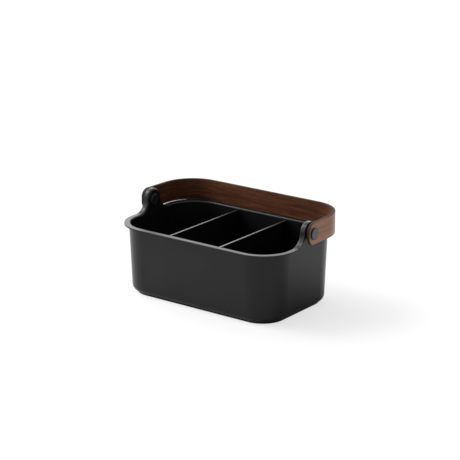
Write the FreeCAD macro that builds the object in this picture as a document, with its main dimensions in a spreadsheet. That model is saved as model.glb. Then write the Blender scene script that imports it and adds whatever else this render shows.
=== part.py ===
import FreeCAD, Part
import math
import os
import Sketcher
from FreeCAD import Placement, Rotation, Vector

# Tool storage caddy: a moulded tub whose lip climbs over two ears, drop-in dividers
# and a laminated bentwood handle that swings on two barrel screws.
# Frame: origin on the ground under the middle of the tub, +X to the right end, +Z up.
# The handle lies folded back on the rim. All sizes are in millimetres and degrees.

SHEET_NAME = "dimensions"

DIMENSIONS = [
    ("rim_length", 271.4, "outer wall at the rim, end to end"),
    ("rim_width", 169.4, "outer wall at the rim, front to back"),
    ("rim_height", 103.3, "ground to the top of the rim"),
    ("corner_radius", 44.4, "outer wall's plan corner at the rim"),
    ("draft_angle", 2.2, "lean of every wall"),
    ("wall_thickness", 2.4, "tub wall"),
    ("floor_thickness", 2.6, "tub floor"),
    ("base_rounding", 9.5, "outer edge of the base"),
    ("cavity_rounding", 7.0, "inner edge of the floor"),
    ("foot_height", 2.0, "foot ring under the base"),
    ("foot_inset", 7.2, "foot ring in from the wall's lower edge"),
    ("foot_band", 5.0, "width of the foot ring"),
    ("lip_overhang", 6.8, "lip beyond the outer wall at the rim"),
    ("lip_thickness", 2.2, "lip"),
    ("lip_rounding", 0.5, "upper edge of the lip"),
    ("rim_rounding", 2.4, "inner edge of the rim"),
    ("ear_radius", 14.6, "round head of an ear"),
    ("shoulder_radius", 18.0, "hollow curve from the rim up to an ear's head"),
    ("pivot_height", 119.4, "ground to the pivot axis"),
    ("boss_radius", 9.0, "boss that carries the handle"),
    ("boss_face", 141.7, "middle of the tub to the boss's end"),
    ("seat_diameter", 17.2, "counterbore inside the ear"),
    ("seat_face", 134.6, "middle of the tub to the counterbore's floor"),
    ("pivot_hole", 8.1, "hole through boss and bush"),
    ("divider_offset", 43.7, "middle of the tub to a divider"),
    ("divider_thickness", 3.0, "divider panel"),
    ("divider_drop", 3.3, "divider's top below the rim"),
    ("divider_corner", 8.5, "lower corners of a divider"),
    ("divider_gap", 0.4, "room between divider and tub"),
    ("divider_rounding", 0.3, "upper edges of a divider"),
    ("guide_depth", 2.4, "guide ribs out from the wall"),
    ("guide_width", 7.2, "pair of guide ribs, outside"),
    ("guide_slot", 3.6, "slot between two guide ribs"),
    ("guide_start", 8.5, "floor to the guide ribs' foot"),
    ("guide_drop", 9.0, "guide ribs' top below the rim"),
    ("handle_half", 146.7, "middle of the tub to the outer face of the handle's bends"),
    ("handle_spread", 2.3, "angle of the legs, which spread towards their ends"),
    ("handle_back", 91.5, "pivot to the handle's outer back face"),
    ("handle_corner", 52.1, "outer bend of the handle"),
    ("handle_width", 31.8, "height of the band"),
    ("handle_end", 12.2, "pivot to the end of the band"),
    ("handle_end_corner", 12.4, "rounded corners of the band's end"),
    ("core_thickness", 2.8, "handle core"),
    ("veneer_thickness", 0.7, "walnut face"),
    ("bush_hole", 11.0, "hole through the band"),
    ("bush_sleeve", 10.9, "bush in that hole"),
    ("bush_flange", 16.0, "bush between boss and band"),
    ("bush_gap", 0.3, "play along the pivot"),
    ("barrel_post", 8.0, "pivot post"),
    ("barrel_bore", 4.0, "threaded bore of the post"),
    ("barrel_bore_depth", 9.0, "depth of that bore"),
    ("cap_diameter", 17.0, "outer cap"),
    ("cap_height", 2.0, "outer cap"),
    ("edge_break", 0.5, "bevelled edge of the outer cap and the inner disc"),
    ("screw_shank", 3.9, "screw in the barrel"),
    ("screw_length", 8.0, "screw below its head"),
    ("screw_head", 16.6, "inner disc"),
    ("screw_head_height", 1.8, "inner disc"),
    ("socket_width", 4.0, "hexagon socket across its corners"),
    ("socket_depth", 1.2, "hexagon socket"),
    ("end_gap", 0.4, "post's end to the screw head"),
]

# Point numbers of sketch geometry: start, end and centre. Geometry -1 is the sketch's origin.
START = 1
END = 2
CENTRE = 3
ORIGIN = -1

doc = FreeCAD.newDocument("caddy")
sheet = doc.addObject("Spreadsheet::Sheet", SHEET_NAME)


class Size:
    """A length or angle: its value now, and the formula that ties it to the sheet."""

    def __init__(self, value, text):
        self.value = value
        self.text = text

    def __add__(self, other):
        return Size(self.value + other.value, f"({self.text} + {other.text})")

    def __sub__(self, other):
        return Size(self.value - other.value, f"({self.text} - {other.text})")

    def __mul__(self, factor):
        return Size(self.value * factor, f"({self.text} * {factor})")

    def __truediv__(self, factor):
        return Size(self.value / factor, f"({self.text} / {factor})")


def fill_sheet():
    """Write the driving dimensions and return them as named sizes."""
    sizes = {}
    for row, (alias, value, meaning) in enumerate(DIMENSIONS, start=1):
        sheet.set(f"A{row}", meaning)
        sheet.set(f"B{row}", str(value))
        sheet.setAlias(f"B{row}", alias)
        sizes[alias] = Size(value, f"{SHEET_NAME}.{alias}")
    doc.recompute()
    return sizes


SIZE = fill_sheet()
ZERO = Size(0.0, "0")


def lean(height):
    """How far a drafted wall moves sideways over a height."""
    angle = SIZE["draft_angle"]
    slope = math.tan(math.radians(angle.value))
    return Size(height.value * slope, f"({height.text} * tan({angle.text} * 1 deg))")


def spread(distance):
    """How far a leg of the handle moves outwards over a distance along it."""
    angle = SIZE["handle_spread"]
    slope = math.tan(math.radians(angle.value))
    return Size(distance.value * slope, f"({distance.text} * tan({angle.text} * 1 deg))")


def across_leg(thickness):
    """A thickness of a leg, measured along the pivot."""
    angle = SIZE["handle_spread"]
    slant = math.cos(math.radians(angle.value))
    return Size(thickness.value / slant, f"({thickness.text} / cos({angle.text} * 1 deg))")


def bind(item, name, size):
    """Tie a property to the sheet."""
    item.setExpression(name, size.text)


def wall_inset(height):
    """Inset of the outer wall at a height above ground, against its outline at the rim."""
    return lean(SIZE["rim_height"] - height)


FLOOR = SIZE["foot_height"] + SIZE["floor_thickness"]
EAR_CENTRE = SIZE["rim_height"] + SIZE["shoulder_radius"]
EAR_TOP = EAR_CENTRE + SIZE["ear_radius"]
ABOVE = EAR_TOP + SIZE["wall_thickness"]
LIP_HALF_X = SIZE["rim_length"] / 2 + SIZE["lip_overhang"]
LIP_HALF_Y = SIZE["rim_width"] / 2 + SIZE["lip_overhang"]
BAND_THICKNESS = SIZE["core_thickness"] + SIZE["veneer_thickness"] * 2
BEND_CENTRE_X = SIZE["handle_half"] - SIZE["handle_corner"]
BEND_CENTRE_Y = SIZE["handle_back"] - SIZE["handle_corner"]
LEG_OUTSIDE = BEND_CENTRE_X + spread(BEND_CENTRE_Y) + across_leg(SIZE["handle_corner"])
LEG_INSIDE = LEG_OUTSIDE - across_leg(BAND_THICKNESS)
FLANGE_END = LEG_INSIDE - spread(SIZE["bush_flange"] / 2)
CAP_UNDERSIDE = LEG_OUTSIDE + spread(SIZE["cap_diameter"] / 2) + SIZE["bush_gap"]


# Sketch and feature helpers

def new_body(label):
    body = doc.addObject("PartDesign::Body", label)
    body.Label = label
    return body


def origin_feature(body, role):
    return next(item for item in body.Origin.OriginFeatures if item.Role == role)


def new_sketch(body, name, role, offset=None):
    """A sketch on one of the body's origin planes, or at an offset from it."""
    sketch = body.newObject("Sketcher::SketchObject", f"{body.Name}_{name}")
    sketch.AttachmentSupport = [(origin_feature(body, role), "")]
    sketch.MapMode = "FlatFace"
    if offset is not None:
        bind(sketch, "AttachmentOffset.Base.z", offset)
    return sketch


def fix(sketch, kind, *references):
    return sketch.addConstraint(Sketcher.Constraint(kind, *references))


def drive(sketch, kind, *references_and_size):
    """Add a dimension that follows the sheet."""
    *references, size = references_and_size
    index = fix(sketch, kind, *references, size.value)
    sketch.setExpression(f"Constraints[{index}]", size.text)


def drive_x(sketch, geometry, point, size, side=1):
    """Distance of a point from the sketch's vertical axis, to the right or the left."""
    ends = (ORIGIN, START, geometry, point) if side > 0 else (geometry, point, ORIGIN, START)
    drive(sketch, "DistanceX", *ends, size)


def drive_y(sketch, geometry, point, size, side=1):
    """Distance of a point from the sketch's horizontal axis, above or below."""
    ends = (ORIGIN, START, geometry, point) if side > 0 else (geometry, point, ORIGIN, START)
    drive(sketch, "DistanceY", *ends, size)


def add_line(sketch, start, end):
    return sketch.addGeometry(Part.LineSegment(Vector(*start, 0), Vector(*end, 0)))


def add_arc(sketch, centre, radius, start_angle, end_angle):
    """An arc drawn anticlockwise between two angles in degrees."""
    circle = Part.Circle(Vector(*centre, 0), Vector(0, 0, 1), radius)
    return sketch.addGeometry(Part.ArcOfCircle(circle, math.radians(start_angle), math.radians(end_angle)))


def add_circle(sketch, height, diameter):
    """A circle on the sketch's vertical axis."""
    circle = Part.Circle(Vector(0, height.value, 0), Vector(0, 0, 1), diameter.value / 2)
    index = sketch.addGeometry(circle)
    fix(sketch, "PointOnObject", index, CENTRE, -2)
    if height is ZERO:
        fix(sketch, "PointOnObject", index, CENTRE, -1)
    else:
        drive_y(sketch, index, CENTRE, height)
    drive(sketch, "Diameter", index, diameter)


def add_loop(sketch, points):
    """Closed run of straight lines through points, joined at their ends."""
    count = len(points)
    lines = [add_line(sketch, points[i], points[(i + 1) % count]) for i in range(count)]
    for here, following in zip(lines, lines[1:] + lines[:1]):
        fix(sketch, "Coincident", here, END, following, START)
    return lines


def rounded_rectangle(sketch, half_x, half_y, radius):
    """Rectangle round the origin with equal round corners."""
    reach_x = half_x.value - radius.value
    reach_y = half_y.value - radius.value
    signs = [(1, 1), (-1, 1), (-1, -1), (1, -1)]
    arcs = []
    for quarter, (sign_x, sign_y) in enumerate(signs):
        centre = (sign_x * reach_x, sign_y * reach_y)
        arcs.append(add_arc(sketch, centre, radius.value, 90 * quarter, 90 * quarter + 90))
    lines = []
    for here, following in zip(arcs, arcs[1:] + arcs[:1]):
        start = sketch.Geometry[here].EndPoint
        end = sketch.Geometry[following].StartPoint
        line = add_line(sketch, (start.x, start.y), (end.x, end.y))
        fix(sketch, "Tangent", here, END, line, START)
        fix(sketch, "Tangent", line, END, following, START)
        lines.append(line)
    top, left, bottom, right = lines
    for line in (top, bottom):
        fix(sketch, "Horizontal", line)
    for line in (left, right):
        fix(sketch, "Vertical", line)
    for arc in arcs[1:]:
        fix(sketch, "Equal", arcs[0], arc)
    drive(sketch, "Radius", arcs[0], radius)
    drive_y(sketch, top, START, half_y)
    drive_x(sketch, left, START, half_x, side=-1)
    drive_y(sketch, bottom, START, half_y, side=-1)
    drive_x(sketch, right, START, half_x)


class EarOutline:
    """Rim and ear seen from one end, a given drop inside: a flat rim, two hollow shoulders and a round head."""

    def __init__(self, drop):
        self.rim = SIZE["rim_height"] - drop
        self.head = SIZE["ear_radius"] - drop
        self.shoulder = SIZE["shoulder_radius"] + drop
        self.reach = self.head + self.shoulder

    def passes(self, point):
        """True where a point, seen from one end, lies on one of the outline's lines or circles."""
        across = abs(point.y)
        over_centre = point.z - EAR_CENTRE.value
        gaps = (
            point.z - self.rim.value,
            math.hypot(across, over_centre) - self.head.value,
            math.hypot(across - self.reach.value, over_centre) - self.shoulder.value,
        )
        return any(near(gap, 0) for gap in gaps)


def saddle(sketch, drop, half_width):
    """The space above rim and ear seen from one end, a given drop inside their outline."""
    ear = EarOutline(drop)
    rim = ear.rim.value
    reach = ear.reach.value
    centre = EAR_CENTRE.value
    wide = half_width.value
    high = ABOVE.value

    head = add_arc(sketch, (0, centre), ear.head.value, 0, 180)
    right_shoulder = add_arc(sketch, (reach, centre), ear.shoulder.value, 180, 270)
    left_shoulder = add_arc(sketch, (-reach, centre), ear.shoulder.value, 270, 360)
    right_rim = add_line(sketch, (reach, rim), (wide, rim))
    right_side = add_line(sketch, (wide, rim), (wide, high))
    top = add_line(sketch, (wide, high), (-wide, high))
    left_side = add_line(sketch, (-wide, high), (-wide, rim))
    left_rim = add_line(sketch, (-wide, rim), (-reach, rim))

    fix(sketch, "Tangent", right_shoulder, END, right_rim, START)
    fix(sketch, "Tangent", head, START, right_shoulder, START)
    fix(sketch, "Tangent", head, END, left_shoulder, END)
    fix(sketch, "Tangent", left_shoulder, START, left_rim, END)
    run = [right_rim, right_side, top, left_side, left_rim]
    for here, following in zip(run, run[1:]):
        fix(sketch, "Coincident", here, END, following, START)
    for line in (right_rim, top, left_rim):
        fix(sketch, "Horizontal", line)
    for line in (right_side, left_side):
        fix(sketch, "Vertical", line)
    fix(sketch, "PointOnObject", head, CENTRE, -2)
    fix(sketch, "Equal", right_shoulder, left_shoulder)
    drive_y(sketch, head, CENTRE, EAR_CENTRE)
    drive(sketch, "Radius", head, ear.head)
    drive(sketch, "Radius", right_shoulder, ear.shoulder)
    drive_y(sketch, right_rim, END, ear.rim)
    drive_y(sketch, left_rim, START, ear.rim)
    drive_x(sketch, right_side, START, half_width)
    drive_x(sketch, left_side, START, half_width, side=-1)
    drive_y(sketch, top, START, ABOVE)


def wall_strip(sketch, side, shallow, deep, low, high):
    """Slanted strip along the inside of the front or back wall, between two depths and two heights.

    Depths are measured into the tub from the wall's inner face; a negative one is inside the wall.
    """
    inner = SIZE["rim_width"] / 2 - SIZE["wall_thickness"]

    def across(depth, height):
        return inner - wall_inset(height) - depth

    corners = [across(shallow, low), across(deep, low), across(deep, high), across(shallow, high)]
    heights = [low, low, high, high]
    points = [(side * y.value, z.value) for y, z in zip(corners, heights)]
    lines = add_loop(sketch, points)
    for line, y, z in zip(lines, corners, heights):
        drive_x(sketch, line, START, y, side=side)
        drive_y(sketch, line, START, z)


def u_band(sketch, outer_half, outer_back, outer_radius, thickness):
    """Plan of a bent strip: two slightly spread legs, two round bends and a back run."""
    inner_radius = outer_radius - thickness
    end = SIZE["handle_end"]
    angle = SIZE["handle_spread"]
    back = outer_back.value
    radius = outer_radius.value
    thick = thickness.value
    centre_x = outer_half.value - radius
    centre_y = back - radius
    sine = math.sin(math.radians(angle.value))
    cosine = math.cos(math.radians(angle.value))

    def leg(side, bend_radius):
        """A leg's face from the tip to the bend, leaning out by the spread."""
        top = (side * (centre_x + bend_radius * cosine), centre_y + bend_radius * sine)
        foot = (top[0] + side * (top[1] + end.value) * sine / cosine, -end.value)
        line = add_line(sketch, foot, top)
        turned = 90 + side * angle.value
        index = fix(sketch, "Angle", line, math.radians(turned))
        sketch.setExpression(f"Constraints[{index}]", f"90 deg + {side} * {angle.text} * 1 deg")
        return line

    ends = {}
    bends = {}
    for side in (1, -1):
        first, last = (angle.value, 90) if side > 0 else (90, 180 - angle.value)
        centre = (side * centre_x, centre_y)
        outer = add_arc(sketch, centre, radius, first, last)
        inner = add_arc(sketch, centre, inner_radius.value, first, last)
        fix(sketch, "Coincident", outer, CENTRE, inner, CENTRE)
        bends[side] = (outer, inner)
        outer_leg = leg(side, radius)
        inner_leg = leg(side, inner_radius.value)
        outer_foot = sketch.Geometry[outer_leg].StartPoint
        inner_foot = sketch.Geometry[inner_leg].StartPoint
        tip = add_line(sketch, (outer_foot.x, outer_foot.y), (inner_foot.x, inner_foot.y))
        leg_point = START if side > 0 else END
        fix(sketch, "Tangent", outer_leg, END, outer, leg_point)
        fix(sketch, "Tangent", inner_leg, END, inner, leg_point)
        fix(sketch, "Coincident", tip, START, outer_leg, START)
        fix(sketch, "Coincident", tip, END, inner_leg, START)
        fix(sketch, "Horizontal", tip)
        ends[side] = tip
    for layer, depth in ((0, 0.0), (1, thick)):
        run = add_line(sketch, (centre_x, back - depth), (-centre_x, back - depth))
        fix(sketch, "Tangent", run, START, bends[1][layer], END)
        fix(sketch, "Tangent", run, END, bends[-1][layer], START)
        fix(sketch, "Horizontal", run)
        if layer == 0:
            drive_y(sketch, run, START, outer_back)
    fix(sketch, "Equal", bends[1][0], bends[-1][0])
    drive(sketch, "Radius", bends[1][0], outer_radius)
    drive(sketch, "Radius", bends[1][1], inner_radius)
    for side in (1, -1):
        drive_x(sketch, bends[side][0], CENTRE, outer_half - outer_radius, side=side)
        drive_y(sketch, ends[side], START, end, side=-1)


def half_section(sketch, points):
    """Closed outline for turning about X: straight lines through sizes along the axis and out from it."""
    lines = add_loop(sketch, [(along.value, out.value) for along, out in points])
    for line, (along, out) in zip(lines, points):
        if along is ZERO:
            fix(sketch, "PointOnObject", line, START, -2)
        else:
            drive_x(sketch, line, START, along, side=1 if along.value > 0 else -1)
        if out is ZERO:
            fix(sketch, "PointOnObject", line, START, -1)
        else:
            drive_y(sketch, line, START, out)


def hexagon(sketch, width):
    """Regular hexagon round the origin, given across its corners."""
    corner = width.value / 2
    circle = sketch.addGeometry(Part.Circle(Vector(0, 0, 0), Vector(0, 0, 1), corner), True)
    fix(sketch, "Coincident", circle, CENTRE, ORIGIN, START)
    drive(sketch, "Diameter", circle, width)
    angles = [math.radians(60 * step) for step in range(6)]
    lines = add_loop(sketch, [(corner * math.cos(angle), corner * math.sin(angle)) for angle in angles])
    for line in lines:
        fix(sketch, "PointOnObject", line, START, circle)
    for line in lines[1:]:
        fix(sketch, "Equal", lines[0], line)
    fix(sketch, "PointOnObject", lines[0], START, -1)


def new_feature(body, kind, name, sketch):
    feature = body.newObject(f"PartDesign::{kind}", f"{body.Name}_{name}")
    feature.Profile = sketch
    sketch.Visibility = False
    return feature


def pad(body, name, sketch, length, symmetric=False, reverse=False, taper=None):
    feature = new_feature(body, "Pad", name, sketch)
    bind(feature, "Length", length)
    feature.SideType = "Symmetric" if symmetric else "One side"
    feature.Reversed = reverse
    if taper is not None:
        bind(feature, "TaperAngle", taper)
    doc.recompute()
    return feature


def pocket(body, name, sketch, length=None, symmetric=False, reverse=False, taper=None):
    """Cut a sketch out of the body, right through when no length is given, and see that it cuts."""
    before = body.Shape.Volume
    feature = new_feature(body, "Pocket", name, sketch)
    feature.SideType = "Symmetric" if symmetric else "One side"
    feature.Reversed = reverse
    if length is None:
        feature.Type = "ThroughAll"
    else:
        bind(feature, "Length", length)
    if taper is not None:
        bind(feature, "TaperAngle", taper)
    doc.recompute()
    if body.Shape.Volume >= before:
        raise RuntimeError(f"{feature.Name} removes nothing")
    return feature


def turn(body, name, sketch):
    """Revolve a half section about the sketch's horizontal axis."""
    feature = new_feature(body, "Revolution", name, sketch)
    feature.ReferenceAxis = (sketch, ["H_Axis"])
    feature.Angle = 360
    doc.recompute()
    return feature


def round_edges(body, name, radius, wanted):
    """Fillet the edges of the body that a test picks out."""
    base = body.Tip
    names = [f"Edge{i}" for i, edge in enumerate(base.Shape.Edges, start=1) if wanted(edge)]
    if not names:
        raise RuntimeError(f"{body.Name}_{name} finds no edges")
    feature = body.newObject("PartDesign::Fillet", f"{body.Name}_{name}")
    feature.Base = (base, names)
    bind(feature, "Radius", radius)
    doc.recompute()
    return feature


def mirror(body, name, originals, role):
    """Repeat features on the other side of an origin plane."""
    feature = body.newObject("PartDesign::Mirrored", f"{body.Name}_{name}")
    feature.Originals = originals
    feature.MirrorPlane = (origin_feature(body, role), [""])
    body.Tip = feature
    doc.recompute()
    return feature


def samples(edge):
    """Three points along an edge."""
    first, last = edge.ParameterRange
    return [edge.valueAt(first + (last - first) * share) for share in (0.0, 0.5, 1.0)]


def near(value, target, tolerance=0.02):
    return abs(value - target) < tolerance


def plan_offset(point, half_x, half_y, radius):
    """Distance in plan outside a rounded rectangle, negative inside it."""
    over_x = abs(point.x) - (half_x - radius)
    over_y = abs(point.y) - (half_y - radius)
    outside = math.hypot(max(over_x, 0), max(over_y, 0))
    return outside + min(max(over_x, over_y), 0) - radius


def level_edge(height):
    """Test for edges that lie at a height."""
    return lambda edge: all(near(point.z, height.value) for point in samples(edge))


def is_lip_edge(edge):
    """Edges where the lip's outer face meets the top of rim and ears."""
    radius = SIZE["corner_radius"].value + SIZE["lip_overhang"].value
    outline = EarOutline(ZERO)
    return all(
        outline.passes(point) and near(plan_offset(point, LIP_HALF_X.value, LIP_HALF_Y.value, radius), 0)
        for point in samples(edge)
    )


def is_inner_rim_edge(edge):
    """Edges where the cavity's wall meets the top of rim and ears."""
    for point in samples(edge):
        inset = wall_inset(Size(point.z, "")).value + SIZE["wall_thickness"].value
        gap = plan_offset(
            point,
            SIZE["rim_length"].value / 2 - inset,
            SIZE["rim_width"].value / 2 - inset,
            SIZE["corner_radius"].value - inset,
        )
        if not near(gap, 0) or point.z < SIZE["rim_height"].value - 0.02:
            return False
    length = (samples(edge)[0] - samples(edge)[2]).Length
    return length > SIZE["rim_rounding"].value


# Sub-parts

def make_tub():
    """Drafted tub with a lip that climbs over the ears, pivot bosses, divider guides and a foot ring."""
    body = new_body("tub")
    half_x = SIZE["rim_length"] / 2
    half_y = SIZE["rim_width"] / 2
    foot = SIZE["foot_height"]
    span_x = LIP_HALF_X * 2
    lip_radius = SIZE["corner_radius"] + SIZE["lip_overhang"]

    lip = new_sketch(body, "lip_section", "YZ_Plane")
    saddle(lip, SIZE["lip_thickness"], LIP_HALF_Y)
    pad(body, "lip", lip, span_x, symmetric=True)

    outline = new_sketch(body, "lip_outline", "XY_Plane")
    rounded_rectangle(outline, LIP_HALF_X, LIP_HALF_Y, lip_radius)
    rounded_rectangle(outline, LIP_HALF_X * 2, LIP_HALF_Y * 2, lip_radius)
    pocket(body, "lip_trim", outline, symmetric=True)

    base = wall_inset(foot)
    block = new_sketch(body, "wall_outline", "XY_Plane", foot)
    rounded_rectangle(block, half_x - base, half_y - base, SIZE["corner_radius"] - base)
    pad(body, "wall", block, ABOVE - foot, taper=SIZE["draft_angle"])

    boss = new_sketch(body, "boss_section", "YZ_Plane")
    add_circle(boss, SIZE["pivot_height"], SIZE["boss_radius"] * 2)
    pad(body, "bosses", boss, SIZE["boss_face"] * 2, symmetric=True)

    rim = new_sketch(body, "rim_section", "YZ_Plane")
    saddle(rim, ZERO, LIP_HALF_Y + SIZE["lip_overhang"])
    pocket(body, "rim", rim, symmetric=True)

    inner = wall_inset(FLOOR) + SIZE["wall_thickness"]
    cavity = new_sketch(body, "cavity_outline", "XY_Plane", FLOOR)
    rounded_rectangle(cavity, half_x - inner, half_y - inner, SIZE["corner_radius"] - inner)
    pocket(body, "cavity", cavity, ABOVE, reverse=True, taper=SIZE["draft_angle"])
    round_edges(body, "floor_edge", SIZE["cavity_rounding"], level_edge(FLOOR))
    round_edges(body, "base_edge", SIZE["base_rounding"], level_edge(foot))
    round_edges(body, "rim_edge", SIZE["rim_rounding"], is_inner_rim_edge)
    round_edges(body, "lip_edge", SIZE["lip_rounding"], is_lip_edge)

    ring = new_sketch(body, "foot_outline", "XY_Plane")
    for inset in (base + SIZE["foot_inset"], base + SIZE["foot_inset"] + SIZE["foot_band"]):
        rounded_rectangle(ring, half_x - inset, half_y - inset, SIZE["corner_radius"] - inset)
    pad(body, "foot_ring", ring, foot + SIZE["floor_thickness"] / 2)

    seat = new_sketch(body, "seat_section", "YZ_Plane", SIZE["seat_face"])
    add_circle(seat, SIZE["pivot_height"], SIZE["seat_diameter"])
    right_seat = pocket(body, "seat", seat, SIZE["wall_thickness"] * 2)
    mirror(body, "seats", [right_seat], "YZ_Plane")

    hole = new_sketch(body, "pivot_section", "YZ_Plane")
    add_circle(hole, SIZE["pivot_height"], SIZE["pivot_hole"])
    pocket(body, "pivot_holes", hole, symmetric=True)

    low = FLOOR + SIZE["guide_start"]
    high = SIZE["rim_height"] - SIZE["guide_drop"]
    guide = new_sketch(body, "guide_section", "YZ_Plane", SIZE["divider_offset"])
    slot = new_sketch(body, "slot_section", "YZ_Plane", SIZE["divider_offset"])
    for side in (1, -1):
        wall_strip(guide, side, SIZE["wall_thickness"] / -2, SIZE["guide_depth"], low, high)
        wall_strip(slot, side, SIZE["divider_gap"] / 2, SIZE["guide_depth"] * 2, low, high)
    guides = pad(body, "guides", guide, SIZE["guide_width"], symmetric=True)
    slots = pocket(body, "slots", slot, SIZE["guide_slot"], symmetric=True)
    mirror(body, "guide_pairs", [guides, slots], "YZ_Plane")
    return body


def make_divider(label, side):
    """Thin panel that drops between its guide ribs, with round lower corners."""
    body = new_body(label)
    gap = SIZE["divider_gap"]
    low = FLOOR + gap
    high = SIZE["rim_height"] - SIZE["divider_drop"]
    inner = SIZE["rim_width"] / 2 - SIZE["wall_thickness"] - gap * 1.5
    sketch = new_sketch(body, "outline", "YZ_Plane")
    corners = [(-1, low), (1, low), (1, high), (-1, high)]
    reach = [inner - wall_inset(height) for _, height in corners]
    points = [(sign * y.value, z.value) for y, (sign, z) in zip(reach, corners)]
    lines = add_loop(sketch, points)
    for line, y, (sign, z) in zip(lines, reach, corners):
        drive_x(sketch, line, START, y, side=sign)
        drive_y(sketch, line, START, z)
    pad(body, "panel", sketch, SIZE["divider_thickness"], symmetric=True)

    def is_lower_corner(edge):
        points = samples(edge)
        level = all(near(point.z, low.value) for point in points)
        return level and near(abs(points[0].y), reach[0].value) and near(points[0].y, points[2].y)

    def is_upper_edge(edge):
        points = samples(edge)
        return all(near(point.z, high.value) for point in points) and near(points[0].x, points[2].x)

    round_edges(body, "corners", SIZE["divider_corner"], is_lower_corner)
    round_edges(body, "top_edges", SIZE["divider_rounding"], is_upper_edge)
    bind(body, "Placement.Base.x", SIZE["divider_offset"] * side)
    return body


def make_handle_layer(label, outside, thickness, hole):
    """One layer of the bent band, a given depth inside the handle's outer face."""
    body = new_body(label)
    plan = new_sketch(body, "plan", "XY_Plane", SIZE["pivot_height"])
    u_band(
        plan,
        SIZE["handle_half"] - outside,
        SIZE["handle_back"] - outside,
        SIZE["handle_corner"] - outside,
        thickness,
    )
    pad(body, "band", plan, SIZE["handle_width"], symmetric=True)

    def is_end_corner(edge):
        points = samples(edge)
        at_end = all(near(point.y, -SIZE["handle_end"].value) for point in points)
        return at_end and near(points[0].z, points[2].z)

    round_edges(body, "end_corners", SIZE["handle_end_corner"], is_end_corner)
    section = new_sketch(body, "hole_section", "YZ_Plane")
    add_circle(section, SIZE["pivot_height"], hole)
    pocket(body, "holes", section, symmetric=True)
    return body


def place_on_pivot(body, side):
    """Set a turned piece on the pivot axis, facing out of the right or the left end."""
    body.Placement = Placement(Vector(0, 0, 0), Rotation(Vector(0, 0, 1), 0 if side > 0 else 180))
    bind(body, "Placement.Base.z", SIZE["pivot_height"])


def make_bush(label, side):
    """Flanged bush: the flange spaces the band off the boss, the sleeve lines its hole."""
    body = new_body(label)
    flange_start = SIZE["boss_face"] + SIZE["bush_gap"]
    sleeve_end = LEG_OUTSIDE - spread(SIZE["bush_hole"] / 2) - SIZE["bush_gap"]
    bore = SIZE["pivot_hole"] / 2
    sketch = new_sketch(body, "section", "XY_Plane")
    half_section(sketch, [
        (flange_start, bore),
        (flange_start, SIZE["bush_flange"] / 2),
        (FLANGE_END, SIZE["bush_flange"] / 2),
        (FLANGE_END, SIZE["bush_sleeve"] / 2),
        (sleeve_end, SIZE["bush_sleeve"] / 2),
        (sleeve_end, bore),
    ])
    turn(body, "bush", sketch)
    place_on_pivot(body, side)
    return body


def make_barrel(label, side):
    """Flat cap outside the handle with the hollow post that the handle turns on."""
    body = new_body(label)
    post_end = SIZE["seat_face"] + SIZE["end_gap"]
    bore_end = post_end + SIZE["barrel_bore_depth"]
    face = CAP_UNDERSIDE + SIZE["cap_height"]
    sketch = new_sketch(body, "section", "XY_Plane")
    half_section(sketch, [
        (post_end, SIZE["barrel_bore"] / 2),
        (post_end, SIZE["barrel_post"] / 2),
        (CAP_UNDERSIDE, SIZE["barrel_post"] / 2),
        (CAP_UNDERSIDE, SIZE["cap_diameter"] / 2),
        (face - SIZE["edge_break"], SIZE["cap_diameter"] / 2),
        (face, SIZE["cap_diameter"] / 2 - SIZE["edge_break"]),
        (face, ZERO),
        (bore_end, ZERO),
        (bore_end, SIZE["barrel_bore"] / 2),
    ])
    turn(body, "barrel", sketch)
    place_on_pivot(body, side)
    return body


def make_screw(label, side):
    """Flat disc inside the ear with a hexagon socket, and the shank that clamps the barrel."""
    body = new_body(label)
    seat = SIZE["seat_face"]
    face = seat - SIZE["screw_head_height"]
    tip = seat + SIZE["screw_length"]
    sketch = new_sketch(body, "section", "XY_Plane")
    half_section(sketch, [
        (face, ZERO),
        (face, SIZE["screw_head"] / 2 - SIZE["edge_break"]),
        (face + SIZE["edge_break"], SIZE["screw_head"] / 2),
        (seat, SIZE["screw_head"] / 2),
        (seat, SIZE["screw_shank"] / 2),
        (tip, SIZE["screw_shank"] / 2),
        (tip, ZERO),
    ])
    turn(body, "screw", sketch)
    socket = new_sketch(body, "socket_outline", "YZ_Plane", face)
    hexagon(socket, SIZE["socket_width"])
    pocket(body, "socket", socket, SIZE["socket_depth"], reverse=True)
    place_on_pivot(body, side)
    return body


def make_all():
    """Every sub-part of the caddy, in the order it goes together."""
    veneer = SIZE["veneer_thickness"]
    core = SIZE["core_thickness"]
    pieces = [make_tub()]
    pieces.append(make_handle_layer("handle_outer_veneer", ZERO, veneer, SIZE["bush_hole"]))
    pieces.append(make_handle_layer("handle_core", veneer, core, SIZE["bush_hole"]))
    pieces.append(make_handle_layer("handle_inner_veneer", veneer + core, veneer, SIZE["bush_hole"]))
    for side, name in ((-1, "left"), (1, "right")):
        pieces.append(make_divider(f"divider_{name}", side))
        pieces.append(make_bush(f"handle_bush_{name}", side))
        pieces.append(make_barrel(f"pivot_barrel_{name}", side))
        pieces.append(make_screw(f"pivot_screw_{name}", side))
    doc.recompute()
    return pieces


def check(pieces):
    """Stop if any feature failed or any piece isn't one valid solid."""
    for item in doc.Objects:
        if "Invalid" in item.State or "Error" in item.State:
            raise RuntimeError(f"{item.Name} failed: {item.State}")
    for piece in pieces:
        shape = piece.Shape
        if shape.isNull() or not shape.isValid() or len(shape.Solids) != 1:
            raise RuntimeError(f"{piece.Label} isn't one valid solid")


def export(pieces):
    os.makedirs("parts", exist_ok=True)
    for piece in pieces:
        piece.Shape.exportStep(f"parts/{piece.Label}.step")
        box = piece.Shape.BoundBox
        print(f"{piece.Label}: {box.XMin:.2f}..{box.XMax:.2f} {box.YMin:.2f}..{box.YMax:.2f} "
              f"{box.ZMin:.2f}..{box.ZMax:.2f} volume {piece.Shape.Volume:.0f}")


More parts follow.
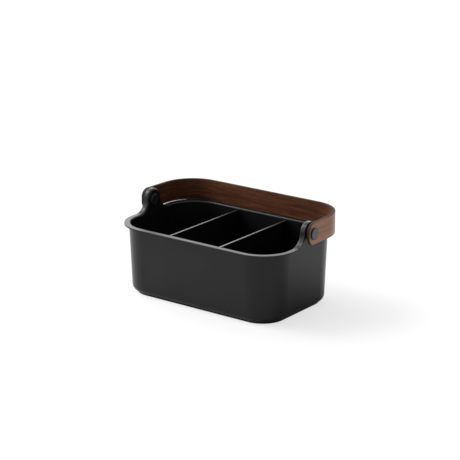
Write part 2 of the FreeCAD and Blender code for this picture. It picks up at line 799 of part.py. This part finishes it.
caddy = make_all()
check(caddy)
export(caddy)
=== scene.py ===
import math

import bmesh
import bpy
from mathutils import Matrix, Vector
from mathutils.geometry import delaunay_2d_cdt


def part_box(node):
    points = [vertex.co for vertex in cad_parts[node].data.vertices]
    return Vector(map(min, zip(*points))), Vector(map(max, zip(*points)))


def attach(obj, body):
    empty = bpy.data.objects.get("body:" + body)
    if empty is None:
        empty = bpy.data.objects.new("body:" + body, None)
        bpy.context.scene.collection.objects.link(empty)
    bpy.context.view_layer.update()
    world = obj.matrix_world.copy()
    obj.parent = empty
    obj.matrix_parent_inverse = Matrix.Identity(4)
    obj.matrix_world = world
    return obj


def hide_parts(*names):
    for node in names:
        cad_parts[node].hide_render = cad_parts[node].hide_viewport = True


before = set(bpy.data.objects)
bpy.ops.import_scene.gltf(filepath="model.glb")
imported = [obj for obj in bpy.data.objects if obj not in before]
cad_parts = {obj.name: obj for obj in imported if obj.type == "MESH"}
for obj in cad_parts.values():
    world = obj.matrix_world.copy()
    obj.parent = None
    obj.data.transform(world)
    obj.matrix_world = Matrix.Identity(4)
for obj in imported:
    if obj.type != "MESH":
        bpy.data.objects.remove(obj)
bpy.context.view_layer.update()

# A moulded caddy with a walnut-faced bentwood handle, in metres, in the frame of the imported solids.

# These sizes of the handle show in no box of the frame. Its others are read from there.
HANDLE_BEND = 0.0521
HANDLE_SPREAD = math.radians(2.3)
HANDLE_END_CORNER = 0.0124
HANDLE_HOLE = 0.0055
FACE_EDGE_ROUNDING = 0.0005

# Fineness of the handle's meshes.
EDGE_STEPS = 4
ARC_STEPS = 24
GRID_ALONG = 0.003
GRID_ACROSS = 0.0031
GRID_MARGIN = 0.0012
FILL_TOLERANCE = 1e-7
SHARP_ANGLE = math.radians(50.0)

# A layer of the handle has two materials, and its edge faces have this one of them.
EDGE_SLOT = 1

# Dark, middle and light tones of the walnut faces, in linear colour, and a pore's share of the dark tone. The
# two faces are lit and shaded copies of one walnut: the outside tones are painted light, the inside tones
# painted shade.
PAINTED_SHADE_INSIDE_TONES = [(0.055, 0.0187, 0.0091), (0.205, 0.0705, 0.0330), (0.330, 0.1200, 0.0580)]
PAINTED_LIGHT_OUTSIDE_TONES = [(0.150, 0.052, 0.0190), (0.345, 0.134, 0.0490), (0.500, 0.204, 0.0810)]
PORE_SHADE = 0.45

# Dark and light tones of the other finishes, in linear colour. The side colours of the cap and the screw are
# painted shade on their turned sides.
MOULD_TONES = [(0.0070, 0.0070, 0.0074), (0.0100, 0.0100, 0.0105)]
PLY_TONES = [(0.020, 0.0170, 0.0138), (0.046, 0.0390, 0.0310)]
PLY_STAIN = (0.013, 0.011, 0.009, 1.0)
CAP_TONES = [(0.050, 0.054, 0.062), (0.075, 0.080, 0.090)]
CAP_SIDE_PAINTED_SHADE = (0.006, 0.006, 0.007, 1.0)
SCREW_TONES = [(0.026, 0.027, 0.030), (0.040, 0.042, 0.046)]
SCREW_SIDE_PAINTED_SHADE = (0.012, 0.012, 0.013, 1.0)
NYLON_TONES = [(0.010, 0.010, 0.010), (0.018, 0.018, 0.018)]

# How far the moulding mirrors light on its faces, and on a worn upper edge.
MOULD_SPECULAR = 0.195
WORN_SPECULAR = 1.0

# Most of a noise texture's values lie between these two.
NOISE_LOW = 0.25
NOISE_HIGH = 0.75

# Camera fitted to the photograph.
CAMERA_AZIMUTH = 36.872
CAMERA_ELEVATION = 17.337
CAMERA_DISTANCE = 2.3749
CAMERA_TARGET = (0.004455, 0.0, 0.098248)
CAMERA_LENS = 130.63
SENSOR_WIDTH = 36.0

# Studio: a white floor and backdrop, soft panels and a soft sun at the left.
FLOOR_HALF = 8.0
FLOOR_COLOUR = (0.96, 0.96, 0.96, 1.0)
# What the camera sees of the floor: this much of the light on it, so the shadow is pale, on this much white.
FLOOR_SEEN = (0.29, 0.29, 0.29, 1.0)
FLOOR_WHITE = 0.70
WHITE = 1.0
WHITE_COLOUR = (1.0, 1.0, 1.0, 1.0)
AMBIENT = 0.02
# Azimuth and elevation of a panel's middle, angles of its full light and its edge, and its strength.
PANELS = [
    (217.0, 22.0, 12.0, 45.0, 1.6),
    (127.0, 25.0, 15.0, 50.0, 0.3),
    (-46.0, 29.0, 6.0, 28.0, 2.6),
    (-92.0, 27.0, 8.0, 32.0, 5.0),
    (0.0, 90.0, 10.0, 40.0, 0.9),
]
KEY_AZIMUTH = -74.0
KEY_ELEVATION = 46.0
KEY_SPREAD = 24.0
KEY_STRENGTH = 1.5
KEY_TARGET = (0.0, 0.0, 0.0)


def direction(azimuth, elevation):
    """Unit vector from the object; azimuth 0 is the front, 90 the right end."""
    turn = math.radians(azimuth)
    rise = math.radians(elevation)
    return Vector((
        math.sin(turn) * math.cos(rise),
        -math.cos(turn) * math.cos(rise),
        math.sin(rise),
    ))


def look_at(item, target):
    item.rotation_euler = (Vector(target) - item.location).to_track_quat("-Z", "Y").to_euler()


def link(item):
    bpy.context.scene.collection.objects.link(item)
    return item


# Handle

class Band:
    """The bent strip of the handle, unrolled as along and height, with depth in from its outer face."""

    def __init__(self):
        low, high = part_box("handle_outer_veneer")
        core_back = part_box("handle_core")[1].y
        inner_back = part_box("handle_inner_veneer")[1].y
        slope = math.tan(HANDLE_SPREAD)
        slant = math.cos(HANDLE_SPREAD)
        self.back = high.y
        self.end = -low.y
        self.middle = (low.z + high.z) / 2
        self.half_width = (high.z - low.z) / 2
        self.veneer = high.y - core_back
        self.core_depth = high.y - inner_back
        self.thickness = self.core_depth + self.veneer
        self.bend_y = self.back - HANDLE_BEND
        self.run = high.x - (self.bend_y + self.end) * slope - HANDLE_BEND / slant
        self.bend_middle = HANDLE_BEND - self.thickness / 2
        self.bend_angle = math.pi / 2 - HANDLE_SPREAD
        self.bend_length = self.bend_middle * self.bend_angle
        inner_radius = HANDLE_BEND - self.thickness
        leg = (self.bend_y + inner_radius * math.sin(HANDLE_SPREAD) + self.end) / slant
        self.half_length = self.run + self.bend_length + leg
        self.pivot = self.half_length - self.end / slant

    def point(self, along, height, depth):
        """Place in the frame of a point of the unrolled strip."""
        distance = abs(along)
        if distance <= self.run:
            x = distance
            y = self.back - depth
        else:
            radius = HANDLE_BEND - depth
            angle = min((distance - self.run) / self.bend_middle, self.bend_angle)
            past = max(distance - self.run - self.bend_length, 0.0)
            x = self.run + radius * math.sin(angle) + past * math.sin(HANDLE_SPREAD)
            y = self.bend_y + radius * math.cos(angle) - past * math.cos(HANDLE_SPREAD)
        return Vector((math.copysign(x, along), y, self.middle + height))

    def outline(self, inset):
        """The strip's edge, a given inset inside it, as (along, height) points, anticlockwise."""
        half_width = self.half_width - inset
        radius = HANDLE_END_CORNER - inset
        reach = self.half_length - HANDLE_END_CORNER
        rise = self.half_width - HANDLE_END_CORNER
        count = round(2 * self.half_length / GRID_ALONG)
        points = []
        for quarter, (sign_along, sign_height) in enumerate([(1, 1), (-1, 1), (-1, -1), (1, -1)]):
            for step in range(ARC_STEPS + 1):
                angle = math.pi / 2 * (quarter + step / ARC_STEPS)
                along = sign_along * reach + radius * math.cos(angle)
                height = sign_height * rise + radius * math.sin(angle)
                points.append((along, height))
            starts_long_edge = sign_along == sign_height
            if starts_long_edge:
                for step in range(1, count):
                    along = sign_along * reach * (1 - 2 * step / count)
                    points.append((along, sign_height * half_width))
        return points

    def holes(self):
        """The two pivot holes, as closed rings of (along, height) points."""
        count = 2 * ARC_STEPS
        angles = [2 * math.pi * step / count for step in range(count)]
        ring = [(HANDLE_HOLE * math.cos(angle), HANDLE_HOLE * math.sin(angle)) for angle in angles]
        return [[(side * self.pivot + along, height) for along, height in ring] for side in (1, -1)]

    def inside(self, along, height, margin):
        """True where a grid point lies clear of the strip's edge and holes."""
        over_along = abs(along) - (self.half_length - HANDLE_END_CORNER)
        over_height = abs(height) - (self.half_width - HANDLE_END_CORNER)
        if over_along > 0 and over_height > 0:
            clear = math.hypot(over_along, over_height) < HANDLE_END_CORNER - margin
        else:
            clear = max(over_along, over_height) < HANDLE_END_CORNER - margin
        from_hole = math.hypot(abs(along) - self.pivot, height)
        return clear and from_hole > HANDLE_HOLE + margin


def fill_face(band, edge, holes):
    """Triangles over the strip inside an edge and outside its holes, fine enough to bend."""
    points = list(edge)
    edges = [(i, (i + 1) % len(edge)) for i in range(len(edge))]
    for ring in holes:
        start = len(points)
        points += ring
        edges += [(start + i, start + (i + 1) % len(ring)) for i in range(len(ring))]
    columns = round(2 * band.half_length / GRID_ALONG)
    rows = round(2 * band.half_width / GRID_ACROSS)
    for column in range(1, columns):
        along = band.half_length * (2 * column / columns - 1)
        for row in range(1, rows):
            height = band.half_width * (2 * row / rows - 1)
            if band.inside(along, height, GRID_MARGIN):
                points.append((along, height))
    inside_with_holes = 2
    result = delaunay_2d_cdt([Vector(p) for p in points], edges, [], inside_with_holes, FILL_TOLERANCE)
    return points, result[2]


def edge_profile(outside, inside, round_outside, round_inside):
    """Rings down a layer's edge, as (inset, depth): a rounding at a face, or one ring where it is square."""
    rings = []
    for step in range(EDGE_STEPS + 1 if round_outside else 1):
        angle = math.pi / 2 * step / EDGE_STEPS
        rings.append((round_outside * (1 - math.sin(angle)), outside + round_outside * (1 - math.cos(angle))))
    for step in range(EDGE_STEPS + 1 if round_inside else 1):
        angle = math.pi / 2 * step / EDGE_STEPS
        rings.append((round_inside * (1 - math.cos(angle)), inside - round_inside * (1 - math.sin(angle))))
    return rings


def make_layer(band, name, outside, inside, round_outside, round_inside):
    """One bent layer between two depths, with rounded long edges where asked and its grain unrolled in UV."""
    mesh = bpy.data.meshes.new(name)
    bm = bmesh.new()
    grain = bm.loops.layers.uv.new("grain")
    unrolled = {}

    def add(along, height, depth):
        vertex = bm.verts.new(band.point(along, height, depth))
        unrolled[vertex] = (along, height + depth)
        return vertex

    rings = edge_profile(outside, inside, round_outside, round_inside)
    holes = band.holes()
    loops = [[add(a, h, depth) for a, h in band.outline(inset)] for inset, depth in rings]
    hole_loops = [[[add(a, h, depth) for a, h in ring] for ring in holes] for depth in (outside, inside)]
    count = len(loops[0])
    for upper, lower in zip(loops, loops[1:]):
        for i in range(count):
            k = (i + 1) % count
            side = bm.faces.new((upper[i], lower[i], lower[k], upper[k]))
            side.material_index = EDGE_SLOT
    for upper, lower in zip(*hole_loops):
        for i in range(len(upper)):
            k = (i + 1) % len(upper)
            bm.faces.new((upper[i], upper[k], lower[k], lower[i]))
    for (inset, depth), loop, ring_loops in (
        (rings[0], loops[0], hole_loops[0]),
        (rings[-1], loops[-1], hole_loops[1]),
    ):
        known = list(loop)
        for ring_loop in ring_loops:
            known += ring_loop
        points, faces = fill_face(band, band.outline(inset), holes)
        for along, height in points[len(known):]:
            known.append(add(along, height, depth))
        for face in faces:
            bm.faces.new([known[i] for i in face])
    for face in bm.faces:
        face.smooth = True
        for corner in face.loops:
            corner[grain].uv = unrolled[corner.vert]
    bmesh.ops.recalc_face_normals(bm, faces=bm.faces)
    bm.to_mesh(mesh)
    bm.free()
    mesh.set_sharp_from_angle(angle=SHARP_ANGLE)
    piece = link(bpy.data.objects.new(name, mesh))
    weighted = piece.modifiers.new("weighted_normal", "WEIGHTED_NORMAL")
    weighted.keep_sharp = True
    return piece


# Materials

class Nodes:
    """A small builder for the node tree of a material or a world."""

    def __init__(self, owner):
        owner.use_nodes = True
        self.owner = owner
        self.tree = owner.node_tree
        self.shader = self.tree.nodes.get("Principled BSDF")

    def set(self, socket, value):
        """Link a socket to another, or give it a plain value."""
        if isinstance(value, bpy.types.NodeSocket):
            self.tree.links.new(value, socket)
        else:
            socket.default_value = value

    def fill(self, item, inputs):
        """Set a node's inputs by name, with underscores for spaces."""
        for key, value in inputs.items():
            self.set(item.inputs[key.replace("_", " ")], value)

    def add(self, kind, settings=None, **inputs):
        item = self.tree.nodes.new(kind)
        for key, value in (settings or {}).items():
            setattr(item, key, value)
        self.fill(item, inputs)
        return item

    def shade(self, **inputs):
        self.fill(self.shader, inputs)

    def noise(self, place, scale, detail, roughness=0.55, distortion=0.0):
        item = self.add(
            "ShaderNodeTexNoise",
            Vector=place,
            Scale=scale,
            Detail=detail,
            Roughness=roughness,
            Distortion=distortion,
        )
        return item.outputs["Fac"]

    def drawn_out(self, place, along, across, **texture):
        """Noise drawn out along the unrolled band, with about this many features per metre each way."""
        stretched = self.add("ShaderNodeMapping", Vector=place, Scale=(along, across, 1.0))
        return self.noise(stretched.outputs["Vector"], scale=1.0, **texture)

    def ramp(self, factor, colours, start, end):
        """Colours spread evenly over a stretch of a texture's values."""
        item = self.add("ShaderNodeValToRGB", Fac=factor)
        elements = item.color_ramp.elements
        elements[0].position = start
        elements[1].position = end
        last = len(colours) - 1
        for step in range(1, last):
            elements.new(start + (end - start) * step / last)
        for element, colour in zip(elements, colours):
            element.color = (*colour, 1.0)
        return item.outputs["Color"]

    def span(self, factor, low, high, start=NOISE_LOW, end=NOISE_HIGH):
        """Map a stretch of a texture's values to a range."""
        item = self.add(
            "ShaderNodeMapRange",
            Value=factor,
            From_Min=start,
            From_Max=end,
            To_Min=low,
            To_Max=high,
        )
        return item.outputs["Result"]

    def blend(self, factor, first, second):
        """Mix two colours. A Mix node repeats its sockets' names for each type, so these go by number."""
        item = self.add("ShaderNodeMix", {"data_type": "RGBA"})
        for socket, value in zip((0, 6, 7), (factor, first, second)):
            self.set(item.inputs[socket], value)
        return item.outputs[2]

    def bump(self, height, distance, strength):
        item = self.add("ShaderNodeBump", Height=height, Distance=distance, Strength=strength)
        return item.outputs["Normal"]

    def combine(self, operation, first, second):
        item = self.add("ShaderNodeMath", {"operation": operation})
        self.set(item.inputs[0], first)
        self.set(item.inputs[1], second)
        return item.outputs["Value"]

    def dot(self, first, second):
        item = self.add("ShaderNodeVectorMath", {"operation": "DOT_PRODUCT"})
        self.set(item.inputs[0], first)
        self.set(item.inputs[1], second)
        return item.outputs["Value"]

    def facing(self, axis):
        """1 where the surface faces along an axis of the piece, 0 where it runs beside that axis."""
        along = self.dot(self.add("ShaderNodeTexCoord").outputs["Normal"], axis)
        return self.combine("MULTIPLY", along, along)

    def object_place(self):
        return self.add("ShaderNodeTexCoord").outputs["Object"]

    def unrolled_place(self):
        return self.add("ShaderNodeUVMap", {"uv_map": "grain"}).outputs["UV"]


def new_material(name):
    return Nodes(bpy.data.materials.new(name))


def moulded_plastic(name, worn_top=False):
    """Black satin moulding: spark-eroded grain and faint flow clouds. A worn top is coarser and paler."""
    build = new_material(name)
    place = build.object_place()
    clouds = build.noise(place, scale=22.0, detail=3.0)
    grain = build.noise(place, scale=2600.0, detail=2.0)
    if worn_top:
        upward = build.facing((0.0, 0.0, 1.0))
        roughness = build.span(upward, low=0.305, high=0.42)
        specular = build.span(upward, low=MOULD_SPECULAR, high=WORN_SPECULAR)
    else:
        roughness = build.span(clouds, low=0.28, high=0.33)
        specular = MOULD_SPECULAR
    build.shade(
        Base_Color=build.ramp(clouds, MOULD_TONES, start=0.3, end=0.75),
        Roughness=roughness,
        Specular_IOR_Level=specular,
        Normal=build.bump(grain, distance=0.00003, strength=0.25),
    )
    return build.owner


def walnut(name, tones, streakiness, specular):
    """Walnut veneer: long cathedral figure, streaks, fine fibres and open pores along the band."""
    build = new_material(name)
    dark = (*tones[0], 1.0)
    pore = (*(PORE_SHADE * level for level in tones[0]), 1.0)
    place = build.unrolled_place()
    figure = build.drawn_out(place, along=3.0, across=70.0, detail=5.0, roughness=0.6, distortion=1.2)
    streaks = build.drawn_out(place, along=22.0, across=400.0, detail=3.0, roughness=0.6)
    fibres = build.drawn_out(place, along=30.0, across=1500.0, detail=4.0, roughness=0.65)
    pores = build.drawn_out(place, along=90.0, across=2600.0, detail=1.0, roughness=0.5)
    colour = build.ramp(figure, tones, start=0.3, end=0.7)
    colour = build.blend(build.span(streaks, low=0.0, high=streakiness, start=0.40, end=0.62), colour, dark)
    colour = build.blend(build.span(fibres, low=0.0, high=0.5), colour, dark)
    colour = build.blend(build.span(pores, low=1.0, high=0.0, start=0.30, end=0.40), colour, pore)
    build.shade(
        Base_Color=colour,
        Roughness=build.span(fibres, low=0.34, high=0.46),
        Specular_IOR_Level=specular,
        Normal=build.bump(fibres, distance=0.00008, strength=0.35),
    )
    return build.owner


def ply_edge():
    """Dark stained edge of the laminate: streaks along its plies, under clouds of stain."""
    build = new_material("ply_edge")
    place = build.unrolled_place()
    streaks = build.drawn_out(place, along=60.0, across=2400.0, detail=3.0)
    clouds = build.noise(place, scale=40.0, detail=3.0)
    colour = build.ramp(streaks, PLY_TONES, start=0.3, end=0.7)
    build.shade(
        Base_Color=build.blend(build.span(clouds, low=0.0, high=0.4), colour, PLY_STAIN),
        Roughness=build.span(streaks, low=0.66, high=0.78),
        Specular_IOR_Level=0.12,
        Normal=build.bump(streaks, distance=0.00006, strength=0.3),
    )
    return build.owner


def coated_metal(name, tones, side, metallic):
    """Satin coating on a piece turned about X, with painted shade on its side: the side is painted darker
    than the flat faces.
    """
    build = new_material(name)
    place = build.object_place()
    clouds = build.noise(place, scale=180.0, detail=3.0)
    fine = build.noise(place, scale=3000.0, detail=2.0)
    coat_colour = build.ramp(clouds, tones, start=0.3, end=0.7)
    # Painted shade: the side gets a darker colour than the flat faces.
    flat = build.span(build.facing((1.0, 0.0, 0.0)), low=0.0, high=1.0)
    build.shade(
        Base_Color=build.blend(flat, side, coat_colour),
        Roughness=build.span(clouds, low=0.34, high=0.44),
        Metallic=metallic,
        Normal=build.bump(fine, distance=0.00002, strength=0.2),
    )
    return build.owner


def bush_nylon():
    build = new_material("bush_nylon")
    clouds = build.noise(build.object_place(), scale=300.0, detail=3.0)
    build.shade(
        Base_Color=build.ramp(clouds, NYLON_TONES, start=0.3, end=0.7),
        Roughness=build.span(clouds, low=0.5, high=0.6),
    )
    return build.owner


def dress(item, *materials):
    """Give a piece these materials. A mesh made here has none yet, and keeps the slots of its faces."""
    if item.data.materials:
        item.data.materials.clear()
    for material in materials:
        item.data.materials.append(material)


def make_handle():
    band = Band()
    # Painted light and shade: the outer faces get a lighter copy of the walnut than the inner faces.
    inside_painted_shade = walnut("walnut_inside_painted_shade", PAINTED_SHADE_INSIDE_TONES, streakiness=0.75, specular=0.2)
    outside_painted_light = walnut("walnut_outside_painted_light", PAINTED_LIGHT_OUTSIDE_TONES, streakiness=0.5, specular=0.3)
    core = ply_edge()
    rounding = FACE_EDGE_ROUNDING
    layers = [
        ("walnut_outside_painted_light", "handle_outer_veneer", outside_painted_light, 0.0, band.veneer, rounding, 0.0),
        ("laminate_core", "handle_core", core, band.veneer, band.core_depth, 0.0, 0.0),
        ("walnut_inside_painted_shade", "handle_inner_veneer", inside_painted_shade, band.core_depth, band.thickness, 0.0, rounding),
    ]
    for name, node, face, outside, inside, round_outside, round_inside in layers:
        piece = make_layer(band, name, outside, inside, round_outside, round_inside)
        dress(piece, face, core)
        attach(piece, "handle")
        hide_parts(node)


def dress_nodes():
    """Give the solids that show as they are their finishes, by the start of their names."""
    finishes = {
        "tub": moulded_plastic("moulded_black"),
        "divider": moulded_plastic("divider_black", worn_top=True),
        "pivot_barrel": coated_metal("gunmetal", CAP_TONES, CAP_SIDE_PAINTED_SHADE, metallic=0.85),
        "pivot_screw": coated_metal("blackened_metal", SCREW_TONES, SCREW_SIDE_PAINTED_SHADE, metallic=0.7),
        "handle_bush": bush_nylon(),
    }
    for name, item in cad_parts.items():
        for start, finish in finishes.items():
            if name.startswith(start):
                dress(item, finish)


# Stage

def make_floor():
    corners = [(-1, -1), (1, -1), (1, 1), (-1, 1)]
    mesh = bpy.data.meshes.new("floor")
    mesh.from_pydata([(x * FLOOR_HALF, y * FLOOR_HALF, 0.0) for x, y in corners], [], [(0, 1, 2, 3)])
    floor = link(bpy.data.objects.new("floor", mesh))
    build = new_material("pale_floor")
    seen = build.add("ShaderNodeLightPath").outputs["Is Camera Ray"]
    white = build.add("ShaderNodeMapRange", Value=seen, To_Max=FLOOR_WHITE)
    build.shade(
        Base_Color=build.blend(seen, FLOOR_COLOUR, FLOOR_SEEN),
        Roughness=1.0,
        Specular_IOR_Level=0.0,
        Emission_Color=WHITE_COLOUR,
        Emission_Strength=white.outputs["Result"],
    )
    dress(floor, build.owner)


def make_world():
    """White wherever it is seen or mirrored, a dimmer sky as a light, and soft panels in it."""
    world = bpy.data.worlds.new("studio")
    build = Nodes(world)
    rays = build.add("ShaderNodeLightPath").outputs
    mirrored = build.combine("MAXIMUM", rays["Is Glossy Ray"], rays["Is Transmission Ray"])
    sky = build.add("ShaderNodeMapRange", Value=mirrored, To_Min=AMBIENT, To_Max=WHITE)
    light = sky.outputs["Result"]
    place = build.add("ShaderNodeTexCoord").outputs["Generated"]
    for azimuth, elevation, full, edge, level in PANELS:
        panel = build.add(
            "ShaderNodeMapRange",
            {"interpolation_type": "SMOOTHSTEP"},
            Value=build.dot(place, direction(azimuth, elevation)),
            From_Min=math.cos(math.radians(edge)),
            From_Max=math.cos(math.radians(full)),
            To_Max=level,
        )
        light = build.combine("ADD", light, panel.outputs["Result"])
    strength = build.add("ShaderNodeMix", Factor=rays["Is Camera Ray"], A=light, B=WHITE)
    background = build.tree.nodes["Background"]
    build.fill(background, {"Color": WHITE_COLOUR, "Strength": strength.outputs["Result"]})
    bpy.context.scene.world = world


def make_key():
    data = bpy.data.lights.new("key", "SUN")
    data.angle = math.radians(KEY_SPREAD)
    data.energy = KEY_STRENGTH
    lamp = link(bpy.data.objects.new("key", data))
    lamp.location = direction(KEY_AZIMUTH, KEY_ELEVATION)
    look_at(lamp, KEY_TARGET)


def make_camera():
    data = bpy.data.cameras.new("camera")
    data.lens = CAMERA_LENS
    data.sensor_width = SENSOR_WIDTH
    camera = link(bpy.data.objects.new("camera", data))
    target = Vector(CAMERA_TARGET)
    camera.location = target + direction(CAMERA_AZIMUTH, CAMERA_ELEVATION) * CAMERA_DISTANCE
    look_at(camera, target)
    bpy.context.scene.camera = camera


dress_nodes()
make_handle()
make_floor()
make_world()
make_key()
make_camera()
bpy.context.scene.view_settings.view_transform = "Standard"
bpy.context.view_layer.update()
